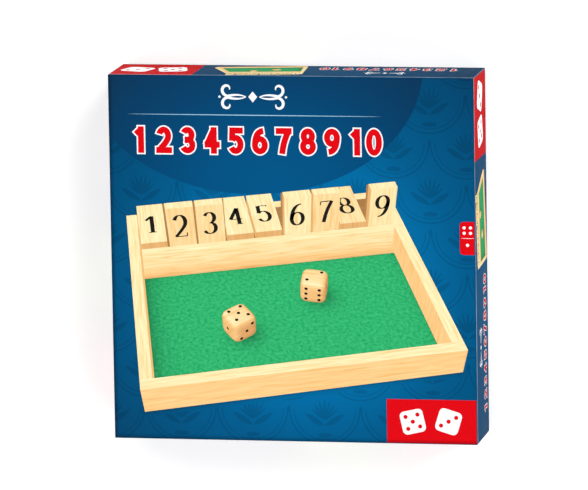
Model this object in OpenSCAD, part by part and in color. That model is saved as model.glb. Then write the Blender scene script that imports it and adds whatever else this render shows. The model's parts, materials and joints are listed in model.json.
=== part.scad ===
// Four-player shut the box game in its cardboard box.
// A square wooden board has a row of hinged number tiles along each side and a felt tray in the
// middle for two dice. It lies in a cardboard tray under a lift-off lid of nearly the same depth.
// Origin: centre of the box's underside. +X is the cover's right, +Y its top edge, +Z is up.

/* [Number tiles] */
// Number of tiles in each of the four rows
tile_count = 10; // [6:1:12]
// Distance from one tile to the next along the rod
tile_pitch = 17.8; // [14:0.1:22]
// Gap between neighbouring tiles
tile_gap = 0.9; // [0.4:0.1:2]
// Thickness of a tile
tile_t = 9; // [7:0.5:11]
// Length of a tile, from the round hinge end to the free end
tile_len = 41; // [34:0.5:50]
// How far a lying tile reaches over the outer frame
tile_rest = 8.5; // [5:0.5:11]
// Rounding of the two edges at a tile's free end
tile_round = 1; // [0.25:0.25:2.5]
// How far past upright a raised tile leans on the inner rail
lean = 15; // [8:1:22]
// Gap left between a raised tile and the inner rail's top edge
lean_gap = 0.26; // [0.2:0.02:0.6]

/* [Hinge rods] */
// Diameter of the steel rod that each row of tiles turns on
rod_d = 3; // [2:0.25:4]
// Radial play of a tile on its rod
rod_play = 0.08; // [0.03:0.01:0.1]
// Radial play of a rod in the inner rails
rod_fit = 0.02; // [0.01:0.01:0.05]
// How deep a rod's end lies inside its hole
rod_inset = 1.5; // [0.5:0.25:4]

/* [Outer frame] */
// Width of the mitred frame rails, seen from above
frame_w = 14; // [12:0.5:20]
// Height of the frame rails
frame_h = 18; // [15:0.5:24]
// Rounding of the frame rails' top edges
frame_round = 1.5; // [0.5:0.25:3]
// Width of the rebate that holds the base panel
rebate_w = 7; // [4:0.5:9]

/* [Base panel and felt] */
// Thickness of the plywood base panel
panel_t = 3.2; // [2.4:0.1:5]
// Height of the panel's underside above the frame's foot
panel_recess = 1.2; // [0.8:0.1:2.4]
// Gap between the panel's edge and the rebate
panel_gap = 0.2; // [0.1:0.05:0.5]
// Thickness of the felt
felt_t = 1; // [0.5:0.1:2]
// Gap between the felt and the wood around it
felt_trim = 0.2; // [0.05:0.05:0.5]

/* [Inner rails] */
// Thickness of the four rails that wall the dice tray
rail_t = 11; // [8:0.5:14]
// How far the inner rails stand above the outer frame
rail_rise = 16; // [12:0.5:20]
// Radius of the rounded rail ends
rail_nose = 10; // [5:0.5:14]
// Rounding of the rails' long top edges
rail_round = 1.2; // [0.4:0.2:3]
// Play in the half-lap joints where rails cross
lap_play = 0.05; // [0.02:0.01:0.2]

/* [Dice] */
// Side of a die
die_size = 16; // [12:0.5:18]
// Radius of the ball that rounds a die's corners and edges
die_ball = 10.9; // [10.7:0.1:12]
// Diameter of a pip
pip_d = 2.6; // [1.6:0.1:3.2]
// Depth of a pip
pip_depth = 0.5; // [0.2:0.1:0.8]
// Distance from a face's middle to the outer pips, along each side
pip_spread = 3.7; // [3.3:0.1:4]

/* [Cardboard box] */
// Thickness of the greyboard
greyboard_t = 1.8; // [1.2:0.1:3]
// Thickness of the printed paper glued round the greyboard
wrap_t = 0.25; // [0.1:0.05:0.4]
// Depth of the paper turned in over each rim
turn_in = 15; // [8:1:25]
// Rounding of the papered upright corners
wrap_round = 0.6; // [0.2:0.1:0.8]
// Gap at the scored folds between greyboard panels
score_gap = 0.1; // [0.05:0.05:0.3]
// Gap between the board and the tray's walls
board_play = 1; // [0.6:0.1:3]
// Gap between the tray and the lid
lid_play = 0.4; // [0.2:0.1:1]
// Room above a tile as it swings, under the lid
headroom = 1.6; // [0.8:0.1:6]
// Height of the tray that shows below the lid
tray_show = 2; // [1:0.5:12]

/* [Rules leaflet] */
// Width of the folded leaflet
leaflet_w = 148; // [90:1:210]
// Height of the folded leaflet
leaflet_l = 210; // [120:1:230]
// Thickness of its paper
leaflet_t = 0.2; // [0.1:0.05:0.3]

/* [Hidden] */
$fn = 48;
cut = 1; // extra length of a cutter past the face it opens
SIDES = ["front", "right", "back", "left"]; // quarter turns from the front
DICE = [[-30, 8, 14], [27, 34, -22]]; // x, y and turn of each die in the dice tray

// Heights above the board's foot
panel_top = panel_recess + panel_t;
felt_top = panel_top + felt_t;
pivot_z = frame_h + tile_t / 2;
rail_top = frame_h + rail_rise;
rail_h = rail_top - panel_top;
// Distances from the board's middle, seen from above
tray_half = tile_count * tile_pitch / 2;
rail_mid = tray_half + rail_t / 2;
rail_out = tray_half + rail_t;
pivot_gap = rail_rise_above_pivot() * tan(lean) + tile_t / 2 / cos(lean) + lean_gap;
pivot_d = rail_out + pivot_gap;
tile_reach = tile_len - tile_t / 2;
inner_half = pivot_d + tile_reach - tile_rest;
board_half = inner_half + frame_w;
rod_len = 2 * (rail_out - rod_inset);
// The box round the board
card_half = board_half + board_play;
tray_out = card_half + greyboard_t;
lid_card = tray_out + wrap_t + lid_play + wrap_t;
lid_out = lid_card + greyboard_t;
board_z = wrap_t + greyboard_t;
lid_under = board_z + pivot_z + norm([tile_reach, tile_t / 2]) + headroom;
box_h = lid_under + greyboard_t + wrap_t;

FIXED_NODES = [
    "tray_greyboard", "tray_wrap", "tray_bottom_sheet", "rules_leaflet",
    "lid_greyboard", "lid_wrap",
    "frame_front", "frame_right", "frame_back", "frame_left",
    "rail_front", "rail_right", "rail_back", "rail_left",
    "base_panel", "felt_lining", "tile_rods", "die_a", "die_b"
];

function rail_rise_above_pivot() = rail_top - pivot_z;
function tile_name(side, number) = str("tile_", SIDES[side], "_", number < 10 ? "0" : "", number);
function tile_x(number) = (number - (tile_count + 1) / 2) * tile_pitch;
// Pips of a value, in steps of pip_spread from the face's middle
function pips(value) = concat(
    value % 2 == 1 ? [[0, 0]] : [],
    value > 1 ? [[1, 1], [-1, -1]] : [],
    value > 3 ? [[1, -1], [-1, 1]] : [],
    value == 6 ? [[1, 0], [-1, 0]] : []
);

// Turns a piece drawn for the front of the board to one of its four sides
module to_side(side) {
    rotate([0, 0, 90 * side]) children();
}

// Rectangle from the origin whose two upper corners are rounded
module eased_rect(w, h, r) {
    square([w, h - r]);
    translate([r, 0]) square([w - 2 * r, h]);
    for (x = [r, w - r]) translate([x, h - r]) circle(r);
}

// Square prism about the middle, from one height to another, with rounded upright corners
module post(half, low, high, r = 0) {
    translate([0, 0, low]) linear_extrude(high - low) {
        square([2 * half, 2 * (half - r)], center = true);
        square([2 * (half - r), 2 * half], center = true);
        if (r > 0)
            for (x = [-1, 1], y = [-1, 1]) translate([x * (half - r), y * (half - r)]) circle(r);
    }
}

// Four upright greyboard walls outside a square, the side walls between the other two
module card_walls(inside, low, high) {
    long = inside + greyboard_t;
    short = inside - score_gap;
    for (s = [0:3]) to_side(s)
        translate([s % 2 == 0 ? -long : -short, -long, low])
            cube([2 * (s % 2 == 0 ? long : short), greyboard_t, high - low]);
}

// Paper turned in over a rim and glued to the inside of the walls
module turned_in(inside, low, high) {
    difference() {
        post(inside, low, high);
        post(inside - wrap_t, low - cut, high + cut);
    }
}

module tray_greyboard() {
    color("darkgray") {
        post(tray_out, wrap_t, board_z);
        card_walls(card_half, board_z + score_gap, lid_under - wrap_t);
    }
}

module tray_wrap() {
    color([0.08, 0.35, 0.54]) {
        difference() {
            post(tray_out + wrap_t, wrap_t, lid_under, wrap_round);
            post(tray_out, wrap_t - cut, lid_under - wrap_t);
            post(card_half - wrap_t, lid_under - wrap_t - cut, lid_under + cut);
        }
        turned_in(card_half, lid_under - turn_in, lid_under);
    }
}

module tray_bottom_sheet() {
    color([0.08, 0.35, 0.54]) post(tray_out + wrap_t, 0, wrap_t, wrap_round);
}

// One sheet folded in half, lying on the tray's floor under the board
module rules_leaflet() {
    color("ivory")
        translate([-leaflet_w / 2, leaflet_l / 2, board_z])
            rotate([90, 0, 0])
                linear_extrude(leaflet_l)
                    difference() {
                        square([leaflet_w, 3 * leaflet_t]);
                        translate([leaflet_t, leaflet_t]) square([leaflet_w, leaflet_t]);
                    }
}

module lid_greyboard() {
    color("darkgray") {
        post(lid_out, lid_under, lid_under + greyboard_t);
        card_walls(lid_card, tray_show + wrap_t, lid_under - score_gap);
    }
}

module lid_wrap() {
    color([0.04, 0.32, 0.52]) {
        difference() {
            post(lid_out + wrap_t, tray_show, box_h, wrap_round);
            post(lid_out, tray_show + wrap_t, lid_under + greyboard_t);
            post(lid_card - wrap_t, tray_show - cut, tray_show + wrap_t + cut);
        }
        turned_in(lid_card, tray_show, tray_show + turn_in);
    }
}

// Frame rail: eased top edges, a rebate for the panel below and mitred ends
module frame_rail(side) {
    color("burlywood")
        translate([0, 0, board_z]) to_side(side) intersection() {
            translate([0, -board_half, 0])
                rotate([90, 0, 90]) linear_extrude(2 * board_half, center = true)
                    difference() {
                        eased_rect(frame_w, frame_h, frame_round);
                        translate([frame_w - rebate_w, -cut]) square([rebate_w + cut, panel_top + cut]);
                    }
            linear_extrude(frame_h)
                polygon([
                    [-board_half, -board_half], [board_half, -board_half],
                    [inner_half, -inner_half], [-inner_half, -inner_half]
                ]);
        }
}

// Inner rail with rounded ends, eased top edges, two half laps and two rod holes
module inner_rail(side) {
    lap = rail_t + 2 * lap_play;
    color("wheat")
        translate([0, 0, board_z + panel_top]) to_side(side) translate([0, -rail_mid, 0]) difference() {
            intersection() {
                rotate([90, 0, 0]) linear_extrude(rail_t, center = true)
                    translate([-inner_half, 0]) eased_rect(2 * inner_half, rail_h, rail_nose);
                rotate([90, 0, 90]) linear_extrude(2 * inner_half, center = true)
                    translate([-rail_t / 2, 0]) eased_rect(rail_t, rail_h, rail_round);
            }
            for (x = [-1, 1]) {
                translate([x * rail_mid - lap / 2, -rail_t, side % 2 == 0 ? rail_h / 2 : -rail_h / 2])
                    cube([lap, 2 * rail_t, rail_h]);
                translate([x * pivot_d, 0, pivot_z - panel_top]) rotate([90, 0, 0])
                    cylinder(h = 2 * rail_t, d = rod_d + 2 * rod_fit, center = true);
            }
        }
}

module base_panel() {
    color("tan") post(inner_half + rebate_w - panel_gap, board_z + panel_recess, board_z + panel_top);
}

// Rectangle of felt between two corners
module felt_patch(low, high) {
    translate([low.x + felt_trim, low.y + felt_trim, board_z + panel_top])
        cube([high.x - low.x - 2 * felt_trim, high.y - low.y - 2 * felt_trim, felt_t]);
}

// Felt in the dice tray, under each row of tiles and in the four corner wells
module felt_lining() {
    color("seagreen") {
        felt_patch([-tray_half, -tray_half], [tray_half, tray_half]);
        for (s = [0:3]) to_side(s) {
            felt_patch([-tray_half, -inner_half], [tray_half, -rail_out]);
            felt_patch([rail_out, -inner_half], [inner_half, -rail_out]);
        }
    }
}

module tile_rods() {
    color("silver") for (s = [0:3]) to_side(s)
        translate([0, -pivot_d, board_z + pivot_z]) rotate([0, 90, 0])
            cylinder(h = rod_len, d = rod_d, center = true);
}

// Tile lying on the frame, its round end on the rod and its free end outward
module number_tile(side, number) {
    width = tile_pitch - tile_gap;
    color("navajowhite") to_side(side)
        translate([tile_x(number), -pivot_d, board_z + pivot_z]) rotate([90, 0, -90])
            linear_extrude(width, center = true) difference() {
                union() {
                    circle(d = tile_t);
                    translate([0, -tile_t / 2]) square([tile_reach - tile_round, tile_t]);
                    translate([0, -tile_t / 2 + tile_round]) square([tile_reach, tile_t - 2 * tile_round]);
                    for (y = [-1, 1]) translate([tile_reach - tile_round, y * (tile_t / 2 - tile_round)])
                        circle(tile_round);
                }
                circle(d = rod_d + 2 * rod_play);
            }
}

// Die with a value on top; opposite faces add up to seven
module die(place, turns) {
    dimple_r = (pow(pip_d / 2, 2) + pow(pip_depth, 2)) / (2 * pip_depth);
    faces = [[0, 0, 0], [90, 0, 0], [0, 90, 0], [0, -90, 0], [-90, 0, 0], [180, 0, 0]];
    color("peachpuff")
        translate([place.x, place.y, board_z + felt_top + die_size / 2])
            rotate([0, 0, place.z]) rotate(turns) difference() {
                intersection() {
                    cube(die_size, center = true);
                    sphere(die_ball);
                }
                for (value = [1:6]) rotate(faces[value - 1]) for (p = pips(value))
                    translate([p.x * pip_spread, p.y * pip_spread, die_size / 2 + dimple_r - pip_depth])
                        sphere(dimple_r);
            }
}

module die_a() {
    die(DICE[0], [0, 0, 0]);
}

module die_b() {
    die(DICE[1], [90, 0, 0]);
}

tray_greyboard();
tray_wrap();
tray_bottom_sheet();
rules_leaflet();
lid_greyboard();
lid_wrap();
base_panel();
felt_lining();
tile_rods();
die_a();
die_b();
for (s = [0:3]) {
    frame_rail(s);
    inner_rail(s);
    for (n = [1:tile_count])
        number_tile(s, n);
}
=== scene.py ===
"""Looks of a boxed four-player shut the box game.

The closed box shows a printed lid. Its paper is a folded sheet with soft edges, and each ink of the
print is a very thin film laid on it, drawn from formulas: scallops, a header oval, a row of numbers
and a small picture of a wooden dice tray. Inside, the wood, felt, rods, dice and numbered tiles of
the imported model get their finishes, and painted numbers and pips are thin pieces that ride with them.
"""

import json
import math

import bpy
import numpy as np
from mathutils import Matrix, Vector


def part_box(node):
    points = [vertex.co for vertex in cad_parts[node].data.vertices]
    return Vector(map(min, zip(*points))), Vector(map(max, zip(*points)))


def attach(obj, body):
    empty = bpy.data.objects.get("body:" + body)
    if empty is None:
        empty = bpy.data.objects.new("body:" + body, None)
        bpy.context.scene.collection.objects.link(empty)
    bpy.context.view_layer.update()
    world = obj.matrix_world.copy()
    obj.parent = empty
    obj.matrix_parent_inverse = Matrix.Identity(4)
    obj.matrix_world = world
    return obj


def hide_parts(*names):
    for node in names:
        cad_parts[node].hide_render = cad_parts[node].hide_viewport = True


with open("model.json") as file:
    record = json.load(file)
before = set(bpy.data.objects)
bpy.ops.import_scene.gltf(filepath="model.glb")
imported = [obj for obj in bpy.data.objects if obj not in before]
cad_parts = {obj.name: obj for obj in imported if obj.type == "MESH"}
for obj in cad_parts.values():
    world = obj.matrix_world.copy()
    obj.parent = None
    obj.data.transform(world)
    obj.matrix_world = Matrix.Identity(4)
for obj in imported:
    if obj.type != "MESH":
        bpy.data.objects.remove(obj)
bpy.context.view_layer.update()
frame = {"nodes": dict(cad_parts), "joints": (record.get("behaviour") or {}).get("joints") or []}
MM = 0.001

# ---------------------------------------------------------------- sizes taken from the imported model
LID_LOW, LID_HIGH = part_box("lid_wrap")
HALF = LID_HIGH.x  # half the lid's side
TOP = LID_HIGH.z  # height of the printed face
RIM = LID_LOW.z  # height of the lid's lower edge
SIDE = 2 * HALF / MM  # side of the face in millimetres
CARD_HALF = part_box("lid_greyboard")[1].x
TURN_IN = 15 * MM  # paper turned in over the rim
PAPER = HALF - CARD_HALF
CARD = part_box("lid_greyboard")[1].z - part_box("tray_wrap")[1].z
SIDES = ("front", "right", "back", "left")
TILES = sorted(n for n in frame["nodes"] if n.startswith("tile_") and n != "tile_rods")
JOINTS = {j["child"]: j for j in frame["joints"]}


# ---------------------------------------------------------------- mesh helpers
def piece(name, points, faces, finish, body, uv=None, shade=None, smooth=False):
    """Mesh piece from an array of points and a list of faces, riding on a body.

    uv is one pair for each point, and shade one number for each point, read by some finishes.
    """
    mesh = bpy.data.meshes.new(name)
    mesh.from_pydata(np.asarray(points, float).tolist(), [], faces)
    if uv is not None:
        corner = np.empty(len(mesh.loops), np.int32)
        mesh.loops.foreach_get("vertex_index", corner)
        mesh.uv_layers.new(name="UVMap").data.foreach_set("uv", np.asarray(uv, float)[corner].ravel())
    if shade is not None:
        mesh.attributes.new("shade", "FLOAT", "POINT").data.foreach_set("value", np.asarray(shade, float))
    mesh.materials.append(finish)
    if smooth:
        mesh.polygons.foreach_set("use_smooth", np.ones(len(mesh.polygons), bool))
    mesh.validate()
    made = bpy.data.objects.new(name, mesh)
    bpy.context.scene.collection.objects.link(made)
    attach(made, body)
    return made


def grid_faces(rows, columns, wrap=False):
    """Quads of a grid whose points run column by column within each row.

    wrap joins the last column to the first.
    """
    i, j = np.meshgrid(np.arange(rows - 1), np.arange(columns if wrap else columns - 1), indexing="ij")
    k = (j + 1) % columns
    quads = np.stack([i * columns + j, i * columns + k, (i + 1) * columns + k, (i + 1) * columns + j], -1)
    return quads.reshape(-1, 4).tolist()


def thicken(made, depth):
    """Gives a flat film its thickness, below its face."""
    solid = made.modifiers.new("thickness", "SOLIDIFY")
    solid.thickness = depth
    solid.offset = -1


def turned(angle):
    """Matrix that turns rows of flat points anticlockwise by an angle."""
    c, s = math.cos(angle), math.sin(angle)
    return np.array([[c, s], [-s, c]])


def rounded_block(low, high, radius, per_corner=7):
    """Points round an upright rectangle with an arc of that radius at each corner, anticlockwise."""
    angle = np.linspace(0, math.pi / 2, per_corner)[None, :] + np.arange(4)[:, None] * math.pi / 2
    right, top = high[0] - radius, high[1] - radius
    left, bottom = low[0] + radius, low[1] + radius
    centre = np.array([[right, top], [left, top], [left, bottom], [right, bottom]])
    ring = centre[:, None, :] + radius * np.stack([np.cos(angle), np.sin(angle)], -1)
    return ring.reshape(-1, 2)


# ---------------------------------------------------------------- finishes
def node(tree, kind, inputs=(), out=0, **settings):
    """Adds a shader node; an input that is a socket is linked, and any other is set. Returns an output."""
    made = tree.nodes.new("ShaderNode" + kind)
    for key, value in settings.items():
        setattr(made, key, value)
    for key, value in dict(inputs).items():
        if isinstance(value, bpy.types.NodeSocket):
            tree.links.new(value, made.inputs[key])
        else:
            made.inputs[key].default_value = value
    return made.outputs[out]


def ramp(tree, amount, *stops):
    """Colour ramp with (position, colour) stops."""
    made = tree.nodes.new("ShaderNodeValToRGB")
    tree.links.new(amount, made.inputs[0])
    while len(made.color_ramp.elements) < len(stops):
        made.color_ramp.elements.new(0.5)
    for element, (position, colour) in zip(made.color_ramp.elements, stops):
        element.position = position
        element.color = (*colour, 1)
    return made.outputs[0]


def maths(tree, operation, a, b=0.0, c=0.0, clamp=False):
    """Sum, product or other operation on up to three numbers or sockets."""
    return node(tree, "Math", {0: a, 1: b, 2: c}, operation=operation, use_clamp=clamp)


def grey(tree, value):
    """Grey of one value."""
    return node(tree, "CombineColor", {0: value, 1: value, 2: value})


MIX_AMOUNT, MIX_FIRST, MIX_SECOND, MIX_RESULT = 0, 6, 7, 2  # a Mix node's sockets, when it mixes colours
SHADE_OUT = 2  # an Attribute node's output for a single number


def mixed(tree, amount, a, b, blend="MIX"):
    """Mix of two colours."""
    made = tree.nodes.new("ShaderNodeMix")
    made.data_type = "RGBA"
    made.blend_type = blend
    for key, value in ((MIX_AMOUNT, amount), (MIX_FIRST, a), (MIX_SECOND, b)):
        if isinstance(value, bpy.types.NodeSocket):
            tree.links.new(value, made.inputs[key])
        else:
            made.inputs[key].default_value = value if key == MIX_AMOUNT else (*value, 1)
    return made.outputs[MIX_RESULT]


def darkened(tree, colour, amount):
    """A colour times a grey amount."""
    return mixed(tree, 1.0, colour, grey(tree, amount), "MULTIPLY")


def weighed(tree, a, b, share):
    """A share of one number plus the rest of another."""
    return maths(tree, "ADD", maths(tree, "MULTIPLY", a, share), maths(tree, "MULTIPLY", b, 1 - share))


def new_finish(name, roughness, specular=0.5, **sockets):
    """Empty material with its shader. Returns the material, its node tree and the shader."""
    made = bpy.data.materials.new(name)
    made.use_nodes = True
    shader = made.node_tree.nodes["Principled BSDF"]
    shader.inputs["Roughness"].default_value = roughness
    shader.inputs["Specular IOR Level"].default_value = specular
    for key, value in sockets.items():
        shader.inputs[key.replace("_", " ")].default_value = value
    return made, made.node_tree, shader


def noise(tree, place, scale, detail, **more):
    """Noise from 0 to 1 at a place; more holds other sockets by name."""
    return node(tree, "TexNoise", {"Vector": place, "Scale": scale, "Detail": detail, **more})


def stretched(tree, place, scale):
    """A place with each axis scaled: a pattern on it is drawn out along an axis of small scale."""
    return node(tree, "Mapping", {"Vector": place, "Scale": scale})


def millimetres(tree, stretch=(1, 1, 1)):
    """Object coordinates in millimetres, stretched."""
    return stretched(tree, node(tree, "TexCoord", out="Object"), tuple(s / MM for s in stretch))


def parts(tree, vector):
    """The x, y and z of a vector."""
    split = tree.nodes.new("ShaderNodeSeparateXYZ")
    tree.links.new(vector, split.inputs[0])
    return split.outputs


def drawn_shade(tree):
    """How light each point of a picture is drawn."""
    return node(tree, "Attribute", out=SHADE_OUT, attribute_name="shade")


def relief(tree, shader, height, strength, depth_mm):
    """Bump from a height socket."""
    bump = node(tree, "Bump", {"Height": height, "Strength": strength, "Distance": depth_mm * MM})
    tree.links.new(bump, shader.inputs["Normal"])


def laminate(tree, shader):
    """Fine unevenness of satin film over card."""
    fine = noise(tree, millimetres(tree), scale=0.9, detail=3.0)
    broad = noise(tree, millimetres(tree), scale=0.03, detail=1.0)
    height = maths(tree, "ADD", maths(tree, "MULTIPLY", fine, 0.04), broad)
    relief(tree, shader, height, strength=0.35, depth_mm=0.5)


PRINT_GLOSS = {"roughness": 0.68, "specular": 0.03}
PRINT_STOPS = (
    (0.0, (0.0, 0.145, 0.350)),
    (0.40, (0.0, 0.124, 0.305)),
    (0.52, (0.0, 0.092, 0.230)),
    (0.70, (0.0, 0.067, 0.170)),
    (1.0, (0.001, 0.032, 0.086)),
)
HEADER_STOPS = (
    (0.0, (0.0, 0.092, 0.245)),
    (0.35, (0.0, 0.076, 0.205)),
    (0.70, (0.001, 0.049, 0.136)),
    (1.0, (0.003, 0.034, 0.092)),
)
PRINTED_WOOD_STOPS = (
    (0.34, (0.80, 0.58, 0.26)),
    (0.46, (0.87, 0.71, 0.37)),
    (0.62, (0.91, 0.81, 0.49)),
)
WOOD_SHADE_STOPS = (
    (0.0, (0.10, 0.04, 0.01)),
    (0.6, (0.72, 0.45, 0.30)),
    (0.85, (0.98, 0.72, 0.54)),
    (1.0, (1, 1, 1)),
)
FELT_STOPS = (
    (0.34, (0.002, 0.200, 0.068)),
    (0.5, (0.012, 0.340, 0.120)),
    (0.68, (0.050, 0.460, 0.185)),
)
GLOW = (12.0, -20.0, 255.0, 255.0)  # centre and reach of the light part of the ground, millimetres
HEADER_GLOW = (-14.0, 46.0, 205.0, 140.0)

# How a print lies on the lid, with its painted shade and painted highlight, in millimetres where nothing else
# is said
EDGE_SHADE_LOW = 4.0  # reach of the painted shade inside the face's front and left edges
EDGE_SHADE_HIGH = 0.9  # and inside its back and right edges
EDGE_SHADE_TONE = 0.4  # tone of the painted shade at the very edge, as a share of the print's own
WALL_SHADE_START = 0.3  # how far below the face the walls' painted shade sets in
FOOT_SHADOW_REACH = 5.0  # height over the rim in which a wall darkens, a painted shadow at its foot
FOOT_SHADOW_TONE = 0.5  # tone of that painted shadow at the rim, as a share of the wall's own
RUB_AND_HIGHLIGHT_REACH = 4.0  # how far below the face the ink is worn and painted with a highlight
RUB_AND_HIGHLIGHT_CORNER = 0.3  # how much less the corners are worn and highlighted than the fold, as a share
RUB_AND_HIGHLIGHT_MOST = 0.7  # largest share of the ink that is worn off and painted over with the highlight
# colour of the bare paper, and of the painted highlight on the fold
BARE_PAPER_AND_HIGHLIGHT = (0.60, 0.70, 0.80)


def on_the_box(tree, colour, tone=0.62, pale=1.0):
    """A print's colour as it lies on the lid.

    Painted shade darkens it along the face's edges, further in at the front and left. The walls are
    drawn deeper as painted shade, and deeper still at their foot as a painted shadow. Just under the
    fold and down the corners it is worn pale in patches, which also stands as a painted highlight on
    the fold. tone is the walls' painted shade, and pale scales the worn and highlighted patches.
    """
    half = HALF / MM
    x, y, z = parts(tree, millimetres(tree))
    below = maths(tree, "SUBTRACT", TOP / MM, z)
    above = maths(tree, "SUBTRACT", z, RIM / MM)
    # painted shade: below the fold the walls are drawn darker than the face
    wall = maths(tree, "SUBTRACT", below, WALL_SHADE_START, clamp=True)
    # painted shade along the face's edges, reaching further in at the front and left
    to_low = [maths(tree, "MULTIPLY_ADD", axis, 1 / EDGE_SHADE_LOW, half / EDGE_SHADE_LOW) for axis in (x, y)]
    to_high = [maths(tree, "MULTIPLY_ADD", axis, -1 / EDGE_SHADE_HIGH, half / EDGE_SHADE_HIGH) for axis in (x, y)]
    nearest = [maths(tree, "MINIMUM", *pair) for pair in (to_low, to_high)]
    edge_shade = maths(tree, "MINIMUM", *nearest, clamp=True)
    edge_shade = maths(tree, "MULTIPLY_ADD", edge_shade, 1 - EDGE_SHADE_TONE, EDGE_SHADE_TONE)
    edge_shade = maths(tree, "MAXIMUM", edge_shade, wall)
    # painted shadow at the walls' foot, over the rim
    foot = maths(tree, "DIVIDE", above, FOOT_SHADOW_REACH, clamp=True)
    foot = maths(tree, "MULTIPLY_ADD", foot, 1 - FOOT_SHADOW_TONE, FOOT_SHADOW_TONE)
    # deep: the walls' painted shade times the painted shadow at their foot
    deep = maths(tree, "MULTIPLY", maths(tree, "MULTIPLY_ADD", wall, tone - 1.0, 1.0), foot)
    colour = darkened(tree, colour, maths(tree, "MULTIPLY", edge_shade, deep))
    # pale patches under the fold and down the corners: wear, and a painted highlight on the fold
    inward = [maths(tree, "SUBTRACT", half, maths(tree, "ABSOLUTE", axis)) for axis in (x, y)]
    off_corner = maths(tree, "ADD", maths(tree, "ADD", *inward), RUB_AND_HIGHLIGHT_CORNER)
    off_fold = maths(tree, "DIVIDE", below, RUB_AND_HIGHLIGHT_REACH)
    band = maths(tree, "SUBTRACT", 1.0, maths(tree, "MINIMUM", off_fold, off_corner), clamp=True)
    patchy = noise(tree, millimetres(tree), scale=0.08, detail=5.0)
    patchy = maths(tree, "MULTIPLY", patchy, pale)
    rubbed_and_lit = maths(tree, "MULTIPLY", maths(tree, "MULTIPLY", band, wall), patchy)
    return mixed(tree, maths(tree, "MINIMUM", rubbed_and_lit, RUB_AND_HIGHLIGHT_MOST), colour, BARE_PAPER_AND_HIGHLIGHT)


def printed(finish, colour, **lie):
    """Completes a print's material: its colour as it lies on the box with painted shade and highlight, under
    satin film.
    """
    made, tree, shader = finish
    tree.links.new(on_the_box(tree, colour, **lie), shader.inputs["Base Color"])
    laminate(tree, shader)
    return made


def ground_finish(name, stops=PRINT_STOPS, glow=GLOW, tone=1.0, by_shade=False, pale=1.0):
    """Printed blue that darkens away from a centre: the distance to it, over the reach, picks the colour."""
    finish = new_finish(name, **PRINT_GLOSS)
    tree = finish[1]
    place = millimetres(tree)
    flat = parts(tree, place)
    x, y = (maths(tree, "DIVIDE", maths(tree, "SUBTRACT", flat[k], glow[k]), glow[k + 2]) for k in (0, 1))
    reach = maths(tree, "SQRT", maths(tree, "MULTIPLY_ADD", x, x, maths(tree, "MULTIPLY", y, y)), clamp=True)
    grain = noise(tree, place, scale=0.6, detail=4.0)
    amount = maths(tree, "MULTIPLY_ADD", grain, 0.10 * tone, 0.95 * tone)
    if by_shade:
        amount = maths(tree, "MULTIPLY", amount, drawn_shade(tree))
    # pale scales the worn patches and painted highlight under the fold; the walls also get painted shade
    return printed(finish, darkened(tree, ramp(tree, reach, *stops), amount), pale=pale)


def ink_finish(name, colour, spread=0.06, roughness=0.68, specular=0.03, tone=0.62):
    """Flat printed ink with a faint mottling, under the same film as the ground; tone is its walls' painted
    shade.
    """
    finish = new_finish(name, roughness, specular)
    tree = finish[1]
    grain = noise(tree, millimetres(tree), scale=0.5, detail=4.0)
    darker = tuple(c * (1 - spread) for c in colour)
    lighter = tuple(min(1.0, c * (1 + spread)) for c in colour)
    return printed(finish, ramp(tree, grain, (0.3, darker), (0.7, lighter)), tone=tone)


def printed_wood():
    """Picture of pale wood: grain along the first texture direction, warmer where it is drawn darker."""
    finish = new_finish("printed wood", **PRINT_GLOSS)
    tree = finish[1]
    place = node(tree, "UVMap", uv_map="UVMap")
    rings = noise(tree, stretched(tree, place, (0.02, 0.32, 1)), scale=1.6, detail=5.0, Distortion=0.7)
    fibre = noise(tree, stretched(tree, place, (0.05, 1.6, 1)), scale=1.0, detail=4.0)
    colour = ramp(tree, weighed(tree, rings, fibre, 0.75), *PRINTED_WOOD_STOPS)
    warm = ramp(tree, drawn_shade(tree), *WOOD_SHADE_STOPS)
    # tone: the walls' painted shade, lighter for the printed wood than for the other inks
    return printed(finish, mixed(tree, 1.0, colour, warm, "MULTIPLY"), tone=0.75)


def printed_felt():
    """Picture of green felt, darkened by the drawn shade."""
    finish = new_finish("printed felt", **PRINT_GLOSS)
    tree = finish[1]
    place = node(tree, "UVMap", uv_map="UVMap")
    fleck = noise(tree, place, scale=0.35, detail=6.0, Roughness=0.75)
    colour = ramp(tree, fleck, (0.35, (0.006, 0.27, 0.090)), (0.65, (0.045, 0.46, 0.165)))
    return printed(finish, darkened(tree, colour, drawn_shade(tree)))


NEXT_CUT = (37.3, 37.3, 11.9)  # from one tile's place in the wood to the next one's, millimetres


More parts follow.
